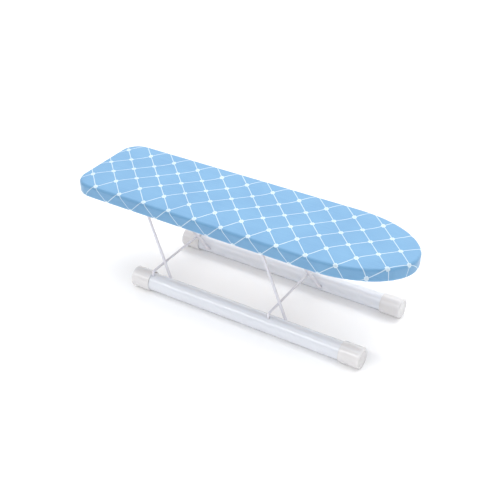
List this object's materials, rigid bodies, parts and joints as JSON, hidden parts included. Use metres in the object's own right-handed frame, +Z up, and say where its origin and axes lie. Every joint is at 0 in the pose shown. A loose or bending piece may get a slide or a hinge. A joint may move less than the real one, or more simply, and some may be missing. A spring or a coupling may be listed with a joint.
{
  "type": "tabletop ironing board",
  "caption": "Small tabletop ironing board: padded board with one rounded end in a printed fabric cover, on wire legs that fold down over a sled of two capped tubes.",
  "frame": {"origin": "on the table, under the middle of the board's length and width", "axes": "+X towards the rounded nose, +Y to the left side, +Z up"},
  "size_m": [0.6, 0.1878, 0.177],
  "materials": {
    "cover": "light blue woven cotton printed with a white diamond lattice",
    "foam": "soft open-cell padding",
    "panel": "plain fibreboard",
    "elastic": "white covered elastic",
    "tube": "frosted milky white",
    "cap": "satin milky white",
    "wire": "white plastic-coated steel wire",
    "zinc": "zinc plated"
  },
  "bodies": {
    "sled": {"right_foot_tube": "tube", "left_foot_tube": "tube", "right_rear_cap": "cap", "right_front_cap": "cap", "left_rear_cap": "cap", "left_front_cap": "cap", "rear_stop_bar": "wire", "front_stop_bar": "wire"},
    "rear_leg": {"rear_leg_wire": "wire"},
    "front_leg": {"front_leg_wire": "wire"},
    "board": {"base_panel": "panel", "foam_pad": "foam", "cover": "cover", "hem_elastic": "elastic", "rear_pivot_saddle": "zinc", "rear_saddle_screw_back": "zinc", "rear_saddle_screw_front": "zinc", "front_pivot_saddle": "zinc", "front_saddle_screw_back": "zinc", "front_saddle_screw_front": "zinc"}
  },
  "joints": [
    {"name": "leg_fold", "type": "hinge", "parent": "sled", "child": "rear_leg", "pos_m": [-0.1196, 0, 0.01765], "axis": [0, 1, 0], "range_deg": [0, 112]},
    {"name": "board_pivot", "type": "hinge", "parent": "rear_leg", "child": "board", "pos_m": [-0.2056, 0, 0.1487], "axis": [0, 1, 0], "range_deg": [-112, 0]},
    {"name": "front_leg_fold", "type": "hinge", "parent": "sled", "child": "front_leg", "pos_m": [0.1099, 0, 0.01765], "axis": [0, 1, 0], "range_deg": [0, 112]}
  ],
  "couplings": [
    {"joint": "board_pivot", "follows": "leg_fold", "ratio": -1},
    {"joint": "front_leg_fold", "follows": "leg_fold", "ratio": 1}
  ]
}
